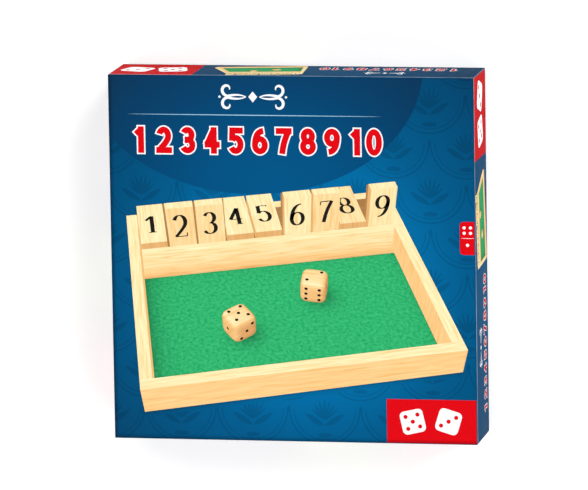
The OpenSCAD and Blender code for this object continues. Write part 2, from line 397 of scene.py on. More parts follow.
def wood_finish(name, along, light=(0.90, 0.68, 0.40), dark=(0.74, 0.46, 0.21), pitch=None):
    """Sanded pale wood with its grain along axis 0 or 1. With a pitch, each tile in a row is another cut.

    The year rings are the sine of a noise drawn out along the grain, and finer fibres lie over them.
    """
    made, tree, shader = new_finish(name, roughness=0.45, specular=0.35)
    place = millimetres(tree)
    if pitch:
        cell = maths(tree, "FLOOR", maths(tree, "DIVIDE", parts(tree, place)[1 - along], pitch))
        away = {axis: maths(tree, "MULTIPLY", cell, step) for axis, step in enumerate(NEXT_CUT)}
        place = node(tree, "VectorMath", {0: place, 1: node(tree, "CombineXYZ", away)}, operation="ADD")
    fine, coarse = (0.03, 1.0, 1.0), (0.012, 0.13, 0.13)
    if along == 1:
        fine, coarse = (fine[1], fine[0], fine[2]), (coarse[1], coarse[0], coarse[2])
    rings = noise(tree, stretched(tree, place, coarse), scale=1.0, detail=4.0, Distortion=0.9)
    bands = maths(tree, "SINE", maths(tree, "MULTIPLY", rings, 46.0))
    bands = maths(tree, "MULTIPLY_ADD", bands, 0.22, 0.5)
    fibre = noise(tree, stretched(tree, place, fine), scale=1.6, detail=5.0)
    middle = tuple((a + b) / 2 for a, b in zip(light, dark))
    colour = ramp(tree, weighed(tree, bands, fibre, 0.6), (0.30, dark), (0.52, middle), (0.66, light))
    if pitch:
        tint = node(tree, "TexWhiteNoise", {"W": cell}, noise_dimensions="1D")
        colour = darkened(tree, colour, maths(tree, "MULTIPLY_ADD", tint, 0.16, 0.90))
    tree.links.new(colour, shader.inputs["Base Color"])
    relief(tree, shader, fibre, strength=0.35, depth_mm=0.15)
    return made


def felt_finish():
    """Short green felt: matted fibres, uneven dye and a soft sheen."""
    made, tree, shader = new_finish("green felt", 0.95, 0.1, Sheen_Weight=0.18, Sheen_Roughness=0.5)
    place = millimetres(tree)
    fibre = noise(tree, place, scale=1.7, detail=6.0, Distortion=1.2)
    cloud = noise(tree, place, scale=0.05, detail=2.0)
    colour = ramp(tree, weighed(tree, fibre, cloud, 0.7), *FELT_STOPS)
    tree.links.new(colour, shader.inputs["Base Color"])
    relief(tree, shader, fibre, strength=0.8, depth_mm=0.5)
    return made


def card_finish(name, light, dark, roughness=0.85):
    """Board or plain paper: pressed fibres with darker flecks."""
    made, tree, shader = new_finish(name, roughness, 0.25)
    pulp = noise(tree, millimetres(tree), scale=0.7, detail=8.0, Roughness=0.7)
    tree.links.new(ramp(tree, pulp, (0.32, dark), (0.62, light)), shader.inputs["Base Color"])
    relief(tree, shader, pulp, strength=0.4, depth_mm=0.2)
    return made


def steel_finish():
    """Drawn steel rod, with fine scratches."""
    made, tree, shader = new_finish("bright steel", 0.32, 0.5, Metallic=1.0)
    scratch = noise(tree, millimetres(tree, (0.4, 0.4, 6)), scale=2.0, detail=4.0)
    colour = ramp(tree, scratch, (0.3, (0.48, 0.48, 0.49)), (0.7, (0.66, 0.66, 0.67)))
    tree.links.new(colour, shader.inputs["Base Color"])
    relief(tree, shader, scratch, strength=0.15, depth_mm=0.05)
    return made


# ---------------------------------------------------------------- the lid's paper
def lid_paper():
    """The lid's wrap: a profile of inset and height carried round a rounded square.

    Outside it runs from the face over a soft fold, down the wall, round the rim and up the inside to
    the turned-in edge, and it comes back against the board to the middle of the face's underside.
    """
    fold = 0.55 * MM  # radius of the fold round the face
    rim = 0.9 * MM  # height of the rounded rim
    corner = 0.6 * MM  # radius of the upright corners
    tightest = 0.05 * MM  # least radius of a corner on the inside
    slack = 0.4 * MM  # between the rim's paper and the board's lower edge
    wall = PAPER + CARD + PAPER  # thickness of the papered wall
    turn = np.linspace(0, math.pi / 2, 6)
    over = np.stack([fold - fold * np.sin(turn), TOP - fold + fold * np.cos(turn)], 1)
    under = np.linspace(0, math.pi, 9)
    rim_line = np.stack([wall / 2 - wall / 2 * np.cos(under), RIM + rim - rim * np.sin(under)], 1)
    inner_edge = np.array([[wall, RIM + TURN_IN], [wall - PAPER, RIM + TURN_IN]])
    card_low = RIM + PAPER + slack
    back = np.array([[wall - PAPER, card_low], [PAPER, card_low], [PAPER, TOP - PAPER]])
    rings = []
    for inset, height in np.concatenate([over, rim_line, inner_edge, back]):
        half = HALF - inset
        ring = rounded_block((-half, -half), (half, half), max(corner - inset, tightest), per_corner=6)
        rings.append(np.column_stack([ring, np.full(len(ring), height)]))
    columns = len(rings[0])
    faces = [face[::-1] for face in grid_faces(len(rings), columns, wrap=True)]
    faces.append(list(range(columns)))
    faces.append([(len(rings) - 1) * columns + k for k in range(columns)][::-1])
    points = np.concatenate(rings)
    made = piece("lid_paper", points, faces, FINISHES["ground"], "lid", smooth=True)
    made.data.set_sharp_from_angle(angle=math.radians(40))
    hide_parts("lid_wrap")


# ---------------------------------------------------------------- print: planes and inks
LAYER = 0.008 * MM  # height of one printed layer above the next
FILM = 0.006 * MM  # thickness of a printed film
EDGE = 0.7  # bare edge round each printed face, millimetres
STROKE_RISE = 0.4  # how far a stroke rises along its way, in layers
LEAST_AREA = 1e-4  # faces cut down to less than this, in square millimetres, are left out
LEAST_TRIANGLE = 1e-5  # twice the area below which a stroke's triangle is left out


class Plane:
    """A printed face: its size, where its lower left corner is, and which way right, up and out run."""

    def __init__(self, corner, right, up, size):
        self.size = np.array(size, float)
        self.corner = np.array(corner, float)
        self.right = np.array(right, float)
        self.up = np.array(up, float)
        self.out = np.cross(self.right, self.up)

    def at(self, flat, level):
        """Points of the face, from millimetres on it and a printed layer."""
        flat = np.asarray(flat, float) * MM
        return self.corner + flat[:, :1] * self.right + flat[:, 1:2] * self.up + (level * LAYER) * self.out

    def kept(self, flat):
        """The places with what lies past the face's edges drawn in to them."""
        return np.clip(flat, EDGE, self.size - EDGE)


COVER = Plane((-HALF, -HALF, TOP), (1, 0, 0), (0, 1, 0), (SIDE, SIDE))


def wall_plane(quarter):
    """Side wall of the lid, a quarter turn at a time from the front, as its own viewer sees it."""
    c, s = round(math.cos(quarter * math.pi / 2)), round(math.sin(quarter * math.pi / 2))
    corner = (-HALF * c + HALF * s, -HALF * s - HALF * c, 0)
    return Plane(corner, (c, s, 0), (0, 0, 1), (SIDE, TOP / MM))


class Ink:
    """Flat shapes of one colour, gathered from all faces and made into one piece."""

    def __init__(self, name, finish):
        self.name = name
        self.finish = finish
        self.points, self.faces, self.uv, self.shade, self.count = [], [], [], [], 0

    def add(self, points, faces, uv=None, shade=None):
        """Adds points of the box and the faces between them."""
        self.points.append(points)
        self.faces += [[k + self.count for k in face] for face in faces]
        self.uv.append(np.zeros((len(points), 2)) if uv is None else np.asarray(uv, float))
        self.shade.append(np.ones(len(points)) if shade is None else np.asarray(shade, float))
        self.count += len(points)

    def shape(self, plane, outline, level):
        """A closed outline, anticlockwise, filled."""
        self.add(plane.at(outline, level), [list(range(len(outline)))])

    def strip(self, plane, left, right, level):
        """The band between two lines of as many points, without triangles that a tight bend turns over.

        It rises a little along its way, so that where it comes round to itself it lies over itself.
        """
        points = np.stack([left, right], 1).reshape(-1, 2)
        rise = np.linspace(0, STROKE_RISE, len(left)).repeat(2)[:, None]
        quads = np.array(grid_faces(len(left), 2))
        faces = np.concatenate([quads[:, [0, 1, 2]], quads[:, [0, 2, 3]]])
        a = points[faces[:, 1]] - points[faces[:, 0]]
        b = points[faces[:, 2]] - points[faces[:, 0]]
        upright = a[:, 0] * b[:, 1] - a[:, 1] * b[:, 0] > LEAST_TRIANGLE
        self.add(plane.at(points, level + rise), faces[upright].tolist())

    def make(self):
        """Makes the piece of this ink, a film of even thickness."""
        made = piece(
            "print_" + self.name,
            np.concatenate(self.points),
            self.faces,
            self.finish,
            "lid",
            np.concatenate(self.uv),
            np.concatenate(self.shade),
        )
        thicken(made, FILM)


def oval(centre, radii, count=48):
    """Points of an ellipse, anticlockwise."""
    angle = np.linspace(0, 2 * math.pi, count, endpoint=False)
    return np.column_stack([centre[0] + radii[0] * np.cos(angle), centre[1] + radii[1] * np.sin(angle)])


def polygon_area(outline):
    """Signed area of an outline, positive if it runs anticlockwise."""
    x, y = outline.T
    return 0.5 * float(np.sum(x * np.roll(y, -1) - y * np.roll(x, -1)))


# ---------------------------------------------------------------- print: digits
def arc(cx, cy, rx, ry, start, end, count=22):
    """Points of an elliptic arc, in degrees."""
    a = np.radians(np.linspace(start, end, count))
    return np.column_stack([cx + rx * np.cos(a), cy + ry * np.sin(a)])


def line(a, b, count=5):
    """Points of a straight line."""
    return np.array(a) + np.linspace(0, 1, count)[:, None] * (np.array(b) - np.array(a))


def curve(a, b, c, count=16):
    """Points of a quadratic curve from a to c, bent towards b."""
    t = np.linspace(0, 1, count)[:, None]
    return (1 - t) ** 2 * np.array(a) + 2 * t * (1 - t) * np.array(b) + t**2 * np.array(c)


RING = "ring"


def digit_lines(digit):
    """Centre lines of a digit in a unit box.

    Each comes with how far its two ends run on, in half stroke widths, or is a ring.
    """
    six = [
        (arc(0.5, 0.30, 0.5, 0.30, 90, 450, 32), RING),
        (curve((0.84, 0.99), (0.06, 0.96), (0.0, 0.30)), (0.1, 0)),
    ]
    two = np.concatenate([
        arc(0.48, 0.70, 0.46, 0.30, 162, -16),
        curve((0.922, 0.60), (0.80, 0.40), (0.0, 0.0)),
    ])
    return {
        "0": [(arc(0.5, 0.5, 0.5, 0.5, 0, 360, 40), RING)],
        "1": [(line((0.60, 1.0), (0.60, 0.0)), (1, 1)), (line((0.08, 0.76), (0.60, 1.0)), (0, 0))],
        "2": [(two, (0, 0)), (line((0.0, 0.0), (1.0, 0.0)), (1, 1))],
        "3": [
            (arc(0.47, 0.755, 0.42, 0.245, 155, -90), (0, 0.9)),
            (arc(0.46, 0.26, 0.50, 0.26, 90, -155), (0.9, 0)),
        ],
        "4": [
            (line((0.70, 0.0), (0.70, 1.0)), (1, 1)),
            (line((0.70, 1.0), (0.0, 0.30)), (0, 0)),
            (line((0.0, 0.30), (1.0, 0.30)), (0.8, 1)),
        ],
        "5": [
            (line((0.92, 1.0), (0.16, 1.0)), (1, 1)),
            (line((0.16, 1.0), (0.12, 0.54)), (0, 0.3)),
            (arc(0.48, 0.32, 0.50, 0.32, 137, -152), (0, 0)),
        ],
        "6": six,
        "7": [
            (line((0.0, 1.0), (1.0, 1.0)), (1, 1)),
            (curve((1.0, 1.0), (0.50, 0.55), (0.34, 0.0)), (0, 0.8)),
        ],
        "8": [
            (arc(0.5, 0.755, 0.42, 0.245, 0, 360, 32), RING),
            (arc(0.5, 0.26, 0.5, 0.26, 0, 360, 32), RING),
        ],
        "9": [(1 - points, ends) for points, ends in six],
    }[digit]


def digit_ends(digit):
    """Serifs, as thin lines, and round ends, as points, of a digit in its unit box."""
    serifs = {
        "1": [((0.28, 0.0), (0.92, 0.0))],
        "2": [((1.0, 0.0), (1.0, 0.16))],
        "4": [((0.46, 0.0), (0.98, 0.0))],
        "5": [((0.90, 1.0), (0.90, 0.93))],
        "7": [((0.0, 1.0), (0.0, 0.84))],
    }
    balls = {
        "2": [(0.10, 0.74)],
        "3": [(0.12, 0.82), (0.07, 0.15)],
        "5": [(0.08, 0.16)],
        "6": [(0.84, 0.92)],
        "9": [(0.16, 0.08)],
    }
    return serifs.get(digit, []), balls.get(digit, [])


RING_HOLE = 0.04  # least inner radius of a ring, as a share of its own
BEND_ROOM = 0.97  # how near a stroke's inner edge may come to the centre of its bend, as a share


def ribbon(points, half, ends=(0, 0), extra=0.0):
    """Left and right edges of a stroke round its centre line.

    Open ends run on by their share of the half width. half is a number, an array, or a function of the
    directions along the stroke. A ring's edges are its own shape with smaller and larger radii.
    Elsewhere the edge on the inside of a bend stays short of the bend's own centre.
    """
    along = np.gradient(points, axis=0)
    if ends is RING:
        along[0] = along[-1] = points[1] - points[-2]
    along /= np.linalg.norm(along, axis=1, keepdims=True)
    half = half(along) if callable(half) else np.broadcast_to(half, len(points))
    if ends is RING:
        middle = points[:-1].mean(0)
        radii = np.abs(points - middle).max(0)
        way = (points - middle) / radii
        hole = np.maximum(radii - half[:, None], RING_HOLE * radii)
        return middle + way * hole, points + way * half[:, None]
    step = np.linalg.norm(np.gradient(points, axis=0), axis=1)
    turning = np.gradient(along, axis=0)
    bend = (along[:, 0] * turning[:, 1] - along[:, 1] * turning[:, 0]) / step
    points = points.copy()
    points[0] -= along[0] * (ends[0] * (half[0] - extra) + extra)
    points[-1] += along[-1] * (ends[1] * (half[-1] - extra) + extra)
    left, right = (np.minimum(half, BEND_ROOM / np.maximum(side * bend, 1e-6))[:, None] for side in (1, -1))
    aside = np.column_stack([-along[:, 1], along[:, 0]])
    return points + aside * left, points - aside * right


def plain_digit(digit, low_left, height, width, weight, extra=0.0):
    """Strokes of a digit of even weight, grown by extra for an outline."""
    inner = np.array([width - weight, height - weight])
    for points, ends in digit_lines(digit):
        yield ribbon(np.array(low_left) + weight / 2 + points * inner, weight / 2 + extra, ends, extra)


def serif_digit(digit, low_left, height, width):
    """Strokes of a digit drawn with a broad nib: thick where it runs up, thin where it runs across."""
    thick, thin = 0.075 * height, 0.020 * height  # half widths
    ball_radius = 0.070 * height
    margin = np.array([thick, thin])
    inner = np.array([width, height]) - 2 * margin
    start = np.array(low_left) + margin
    serifs, balls = digit_ends(digit)
    for points, ends in digit_lines(digit):
        yield ribbon(
            start + points * inner,
            lambda way: thin + (thick - thin) * np.abs(way[:, 1]) ** 1.6,
            ends if ends is RING else (0, 0),
        )
    for a, b in serifs:
        yield ribbon(start + line(a, b) * inner, thin)
    for ball in balls:
        middle = start + np.array(ball) * inner
        rim = arc(0, 0, ball_radius, ball_radius, 90, 270, 9)
        yield middle + rim, middle + rim * (-1, 1)


def serif_number(number, height, pitch, fill):
    """Strokes of a whole number, centred, whose digits stand a pitch apart and fill that share of it."""
    left = -len(number) * pitch / 2
    for place, digit in enumerate(number):
        yield from serif_digit(digit, (left + place * pitch, -height / 2), height, pitch * fill)


def number_row(numbers, left, right, base, height, weight, gap, outline, inks, plane, level):
    """Row of plain numbers, spread evenly from left to right, with a gap between a number's own digits.

    Each digit is filled in the first ink over its shape in the second ink, grown by the outline.
    """
    digits = sum(len(n) for n in numbers)
    width = 0.60 * height
    space = (right - left - digits * width - gap * (digits - len(numbers))) / (len(numbers) - 1)
    x = left
    for number in numbers:
        for place, digit in enumerate(number):
            for ink, extra, step in ((inks[1], outline, 0), (inks[0], 0.0, 2)):
                for stroke, (a, b) in enumerate(plain_digit(digit, (x, base), height, width, weight, extra)):
                    ink.strip(plane, a, b, level + step + 0.5 * stroke)
            x += width + (gap if place < len(number) - 1 else 0)
        x += space


# ---------------------------------------------------------------- print: pattern, header and blocks
def leaf(centre, length, breadth, turn, bend=0.0, count=9):
    """Leaf with two pointed ends: its breadth follows a sine, and its middle line bends to one side."""
    t = np.linspace(0, 1, count)
    spine = np.column_stack([bend * length * t**2, length * t])
    aside = np.column_stack([breadth / 2 * np.sin(math.pi * t) ** 0.8, 0 * t])
    edge = np.concatenate([spine + aside, (spine - aside)[-2:0:-1]])
    return np.array(centre) + edge @ turned(turn)


# Leaves of one palmette: how far up its foot is, length and breadth as shares of the pitch, then the
# turn in degrees and the bend.
SLIM_LEAVES = [(0.08, 0.295 - 0.006 * k * k, 0.036, 18 * k, 0.03 * k) for k in range(-3, 4)]
BROAD_LEAVES = [(0.0, 0.32, 0.078, side * 64, side * 0.10) for side in (1, -1)]
SCALLOP_LINES = ((0.7, 1.2), (4.4, 0.8))  # how far inside the circle, and breadth, in millimetres
LEAST_SHAPE = 0.05  # a shape with less than this left on the face, in square millimetres, isn't drawn


def scallops(ink, plane, level, corner=(-3.9, 14.0), pitch=61.7, rise=38.06):
    """Traditional scale pattern: staggered rows of scallops, each with a palmette in it.

    A palmette is seven slim leaves and two broad ones that spread from a foot, over a small lozenge. A
    scallop is two lines round the lower half of a circle, cut into short pieces, so that no two pieces
    of the print lie over each other, and a bud sits where two scallops touch.
    """
    middle_up = 0.23 * pitch
    for row in range(-1, int(plane.size[1] / rise) + 2):
        for column in range(-1, int(plane.size[0] / pitch) + 3):
            foot = np.array(corner) + ((column - 0.5 * (row % 2)) * pitch, row * rise)
            shapes = []
            for step, (up, long, wide, turn, bend) in enumerate(SLIM_LEAVES + BROAD_LEAVES):
                shape = leaf(foot + (0, up * pitch), long * pitch, wide * pitch, math.radians(turn), bend)
                shapes.append((shape, step))
            shapes.append((oval(foot - (0, 0.135 * pitch), (0.10 * pitch, 0.034 * pitch), 20), 0))
            bud = foot + (0.5 * pitch, middle_up - 0.05 * pitch)
            shapes.append((leaf(bud, 0.10 * pitch, 0.055 * pitch, 0.0), 2))
            for inside, breadth in SCALLOP_LINES:
                turn = np.linspace(math.pi, 2 * math.pi, 25)
                ring = np.column_stack([np.cos(turn), np.sin(turn)])
                left, right = ribbon(foot + (0, middle_up) + (0.5 * pitch - inside) * ring, breadth / 2)
                for k in range(len(turn) - 1):
                    shapes.append((np.array([left[k], right[k], right[k + 1], left[k + 1]]), 0))
            for shape, step in shapes:
                held = plane.kept(shape)
                if polygon_area(held) > LEAST_SHAPE:
                    ink.shape(plane, held, level + 0.5 * step)


def header(ink, plane, level):
    """Dark oval behind the numbers, cut off by the face's edges, as rings whose tone falls outward."""
    centre, radii = np.array([122.3, 319.6]), np.array([146.3, 108.6])
    tone_fall = 0.10
    share = np.linspace(0, 1, 9)
    angle = np.linspace(0, 2 * math.pi, 97)[:-1]
    ring = np.stack([np.cos(angle), np.sin(angle)], -1)
    points = centre + share[:, None, None] * radii * ring
    held = plane.kept(points.reshape(-1, 2))
    shade = np.repeat(1.0 - tone_fall * share**2, len(angle))
    faces = [f[::-1] for f in grid_faces(len(share), len(angle), wrap=True)]
    area = np.array([polygon_area(held[f]) for f in faces])
    ink.add(plane.at(held, level), [f for f, a in zip(faces, area) if a > LEAST_AREA], shade=shade)


def fading_line(ink, plane, left, right, height, breadth, level):
    """Thin line that fades out towards both ends: its breadth and its shade follow a sine."""
    t = np.linspace(0, 1, 25)
    x = left + (right - left) * t
    half = breadth / 2 * np.sin(math.pi * t) ** 0.5
    upper, lower = np.column_stack([x, height + half]), np.column_stack([x, height - half])
    points = np.stack([lower, upper], 1).reshape(-1, 2)
    faces = [f[::-1] for f in grid_faces(len(t), 2)]
    ink.add(plane.at(points, level), faces, shade=np.repeat(np.sin(math.pi * t), 2))


def flourish(ink, plane, centre, breadth, level):
    """White ornament: a lozenge between two pairs of scrolls that mirror each other.

    Lengths are shares of half its breadth. A scroll is a stem that bends up to a spiral, whose radius
    falls evenly as it turns.
    """
    c = np.array(centre)
    unit = breadth / 2
    wide, high = 0.13, 0.16  # half the lozenge
    scroll_x, scroll_y, radius_first = 0.74, 0.02, 0.20  # where the spiral begins, and its first radius
    thin, swell = 0.012, 0.030  # half width of the line at its ends, and what its middle adds
    ink.shape(plane, c + unit * np.array([[wide, 0], [0, high], [-wide, 0], [0, -high]]), level)
    for side in (1, -1):
        for above, up in enumerate((1, -1)):
            turns = np.linspace(0, 1.55 * math.pi, 26)
            radius = radius_first * (1 - turns / (2.1 * math.pi))
            curl_x = scroll_x + radius * np.sin(turns)
            curl_y = up * (scroll_y + radius_first - radius * np.cos(turns))
            stem = curve((0.20, 0.0), (0.42, up * 0.10), (scroll_x, up * scroll_y), 12)
            path = unit * np.concatenate([stem[:-1], np.column_stack([curl_x, curl_y])]) * (side, 1)
            weight = unit * (thin + swell * np.sin(np.linspace(0, math.pi, len(path))))
            a, b = ribbon(path, weight)
            ink.strip(plane, c + a, c + b, level + 0.5 * above)
        ink.shape(plane, oval(c + np.array([side * unit * 0.98, 0]), (0.035 * unit, 0.035 * unit), 16), level)


def pip_places(value):
    """Places of a die's pips, in steps from the middle of its face."""
    corners = [(1, 1), (-1, -1)] if value > 1 else []
    corners += [(1, -1), (-1, 1)] if value > 3 else []
    corners += [(1, 0), (-1, 0)] if value == 6 else []
    return np.array(([(0, 0)] if value % 2 else []) + corners, float)


def die_mark(white, red, plane, centre, side, turn, value, level):
    """Flat sign of a die: a white rounded square, turned, with red pips."""
    spin = turned(turn)
    square = rounded_block((-side / 2, -side / 2), (side / 2, side / 2), side * 0.2)
    white.shape(plane, np.array(centre) + square @ spin, level)
    for place in pip_places(value):
        middle = np.array(centre) + (place * side * 0.26) @ spin
        red.shape(plane, oval(middle, (side * 0.09, side * 0.09), 20), level + 1)


# ---------------------------------------------------------------- print: picture of a dice tray
class Picture:
    """Draws solids of a small scene flat on a printed face, in perspective, the far ones first.

    The scene is in millimetres of its own. level is the printed layer that is being drawn on, and fine
    is how finely panels are divided, where 1 is for the large picture.
    """

    turn = math.radians(10.5)  # of the scene, seen from above
    tilt = math.radians(43)  # of the view, down from level
    away = 620.0  # from the eye to the middle of the scene

    def __init__(self, inks, plane, centre, scale, level, fine=1.0):
        self.inks = inks
        self.plane = plane
        self.centre = np.array(centre, float)
        self.scale = scale
        self.level = level
        self.fine = fine

    def seen(self, points):
        """Flat places of points in the scene: turned, tilted, and drawn smaller as they lie further off."""
        c, s = math.cos(self.turn), math.sin(self.turn)
        x = points[..., 0] * c - points[..., 1] * s
        y = points[..., 0] * s + points[..., 1] * c
        z = points[..., 2]
        cos, sin = math.cos(self.tilt), math.sin(self.tilt)
        depth = self.away + y * cos - z * sin
        flat = np.stack([x, y * sin + z * cos], -1) * (self.away / depth)[..., None]
        return self.centre + self.scale * flat

    def patch(self, ink, points, uv, shade, lift=0):
        """A grid of points of the scene, drawn if it faces the viewer, that many layers up."""
        rows, columns = points.shape[:2]
        flat = self.plane.kept(self.seen(points).reshape(-1, 2))
        quads = np.array(grid_faces(rows, columns))
        x, y = flat[quads][..., 0], flat[quads][..., 1]
        area = 0.5 * np.sum(x * np.roll(y, -1, 1) - y * np.roll(x, -1, 1), 1)
        shown = quads[area > LEAST_AREA].tolist()
        if shown:
            used, faces = np.unique(np.array(shown), return_inverse=True)
            self.inks[ink].add(
                self.plane.at(flat[used], self.level + lift),
                faces.reshape(-1, 4).tolist(),
                uv.reshape(-1, 2)[used],
                shade.reshape(-1)[used],
            )

    def panel(self, corner, across, up, tone, ink="wood", grain=0, gloom=None, steps=(7, 4)):
        """Flat panel from a corner along two edges. gloom darkens it by a function of its points."""
        rows, columns = (max(2, int(s * self.fine)) for s in steps)
        a, b = np.meshgrid(np.linspace(0, 1, columns), np.linspace(0, 1, rows), indexing="xy")
        across, up = np.array(across, float), np.array(up, float)
        points = np.array(corner, float) + a[..., None] * across + b[..., None] * up
        own_cut = np.array(corner)[:2] * 0.37  # each panel's grain is another part of the wood
        uv = np.stack([a * np.linalg.norm(across), b * np.linalg.norm(up)], -1) + own_cut
        shade = np.full(a.shape, tone) if gloom is None else tone * gloom(points)
        self.patch(ink, points, uv[..., ::-1] if grain else uv, shade)

    def box(self, low, high, tones=(1.0, 0.80, 0.62), grain=0, gloom=None):
        """Upright block: its front, two sides and top, in tones top, front and side."""
        (x0, y0, z0), (x1, y1, z1) = low, high
        top, front, side = tones
        up = (0, 0, z1 - z0)
        for corner, across, rise, tone in (
            ((x0, y0, z0), (x1 - x0, 0, 0), up, front),
            ((x1, y0, z0), (0, y1 - y0, 0), up, side),
            ((x0, y1, z0), (0, y0 - y1, 0), up, side * 1.12),
            ((x0, y0, z1), (x1 - x0, 0, 0), (0, y1 - y0, 0), top),
        ):
            self.panel(corner, across, rise, tone, grain=grain, gloom=gloom)

    def number(self, number, middle, right, up, height):
        """Black serif number on a face of the scene, whose directions are given."""
        right, up = np.array(right, float), np.array(up, float)
        for a, b in serif_number(number, height, height * (0.50 if len(number) > 1 else 0.62), 0.94):
            band = np.stack([a, b], 1)
            points = np.array(middle, float) + band[..., :1] * right + band[..., 1:] * up
            self.patch("black", points, np.zeros(band.shape), np.ones(band.shape[:2]))

    def die(self, centre, side, turn, values):
        """Rounded die with pips on its top, front and two sides.

        Its surface is a superellipsoid: each direction, divided by the root of the sum of its parts'
        powers. Its shade grows with how far the surface faces the light.
        """
        spin = np.eye(3)
        spin[:2, :2] = turned(turn)
        light = np.array([-0.35, -0.45, 0.82])
        lat, lon = np.meshgrid(
            np.linspace(-math.pi / 2, math.pi / 2, 29), np.linspace(0, 2 * math.pi, 49), indexing="ij"
        )
        way = np.stack([np.cos(lat) * np.cos(lon), np.cos(lat) * np.sin(lon), np.sin(lat)], -1)
        power = 5.0
        body = way / (np.abs(way) ** power).sum(-1, keepdims=True) ** (1 / power)
        normal = np.sign(body) * np.abs(body) ** (power - 1)
        normal /= np.linalg.norm(normal, axis=-1, keepdims=True)
        lit = np.clip((normal @ spin) @ light, 0, 1)
        points = np.array(centre, float) + side / 2 * (body @ spin)
        grain = side / 2 * (body[..., :2] + body[..., 2:] * (0.3, 0.8))
        self.patch("wood", points, grain, 0.45 + 0.58 * lit)
        faces = (
            ((1, 0, 0), (0, 1, 0)),
            ((1, 0, 0), (0, 0, 1)),
            ((0, 1, 0), (0, 0, 1)),
            ((0, -1, 0), (0, 0, 1)),
        )
        for (right, up), value in zip(faces, values):
            right, up = np.array(right, float), np.array(up, float)
            out = np.cross(right, up)
            for place in pip_places(value):
                left_rim = arc(*(place * 0.5), 0.13, 0.13, 90, 270, 9)
                right_rim = arc(*(place * 0.5), 0.13, 0.13, 90, -90, 9)
                ring = np.stack([left_rim, right_rim], 1)
                local = out * 0.995 + ring[..., :1] * right + ring[..., 1:] * up
                dots = np.array(centre, float) + side / 2 * (local @ spin)
                self.patch("black", dots[:, ::-1], np.zeros(ring.shape), np.ones(ring.shape[:2]), lift=1)


# The drawn tray, in its own millimetres from the middle of its foot: x runs across it, y to the back and
# z up.
TRAY_LONG, TRAY_DEEP = 118.0, 100.0  # half its outer sides
TRAY_WALL, TRAY_THICK = 24.0, 9.0  # height and thickness of its walls
TRAY_FELT = 5.0  # height of the felt
RAIL_BACK, RAIL_THICK, RAIL_TOP = 44.0, 8, 30.0  # the rail before the tiles: back face, thickness and top
WALLS_PARTED = 48  # y where the right wall is drawn in two parts, for the tiles to come between
TRAY_TILES = 9
TILES_DOWN = (0, 3, 4, 7)  # tiles that lie flat, counted from 0
DRAWN_GAP = 1.8  # between two tiles
DOWN_TILE = (50, 103, 22, 31)  # front, back, underside and top of a tile that lies flat
UP_TILE = (49, 57, 10, 64)  # and of one that stands
DRAWN_DICE = ((-40, -38, 0.45, (5, 3, 6, 1)), (26, -6, -0.35, (2, 6, 4, 3)))  # x, y, turn, pips
DRAWN_DIE = 21  # side of a die
WALL_TONES = (1.04, 0.84, 0.74)  # top, front and side
GAP_TONE = 0.30  # of the dark between and behind the tiles


def felt_gloom(points):
    """Felt darkens next to the walls and under the dice, by the falling exponential of the distance."""
    x, y = points[..., 0], points[..., 1]
    near = np.exp(-(x + TRAY_LONG - TRAY_THICK) / 9) + 0.5 * np.exp(-(y + TRAY_DEEP - TRAY_THICK) / 7)
    near += 0.45 * np.exp(-(TRAY_LONG - TRAY_THICK - x) / 6) + 0.8 * np.exp(-(RAIL_BACK - y) / 7)
    for die_x, die_y, _, _ in DRAWN_DICE:
        near += 1.3 * np.exp(-(((x - die_x - 5) ** 2 + (y - die_y + 2) ** 2) / 150))
    return np.clip(1.10 - 0.50 * near, 0.30, 1.10)


def wall_gloom(points):
    """Walls darken towards the felt."""
    return 1 - 0.25 * np.exp(-np.clip(points[..., 2] - TRAY_FELT, 0, None) / 7)


def drawn_tile(draw, k, pitch):
    """One number tile of the picture, lying flat or standing, with the dark behind it drawn first."""
    x0 = -TRAY_LONG + TRAY_THICK + pitch * k + DRAWN_GAP / 2
    x1 = x0 + pitch - DRAWN_GAP
    middle = (x0 + x1) / 2
    tone = 1.0 + 0.07 * math.sin(5.1 * k)  # no two tiles are the same shade
    beside = 1.5  # how far the dark reaches past the tile's sides
    draw.panel((x0 - beside, 50, 10), (x1 - x0 + 2 * beside, 0, 0), (0, 44, 12), GAP_TONE)
    draw.level += 1
    if k in TILES_DOWN:
        front, back, low, high = DOWN_TILE
        draw.box((x0, front, low), (x1, back, high), tones=(tone, 0.66, 0.60), grain=1)
        draw.level += 1
        draw.number(str(k + 1), (middle, 75, high), (1, 0, 0), (0, 1, 0), height=23)
        return
    front, back, low, high = UP_TILE
    beside = 1.4
    draw.panel((x0 - beside, back + 0.5, low), (x1 - x0 + 2 * beside, 0, 0), (0, 0, 53), 0.34)
    draw.level += 1
    draw.box((x0, front, low), (x1, back, high), tones=(1.08, 0.96 * tone, 0.60), grain=1)
    draw.level += 1
    draw.number(str(k + 1), (middle, front, 46), (1, 0, 0), (0, 0, 1), height=22)


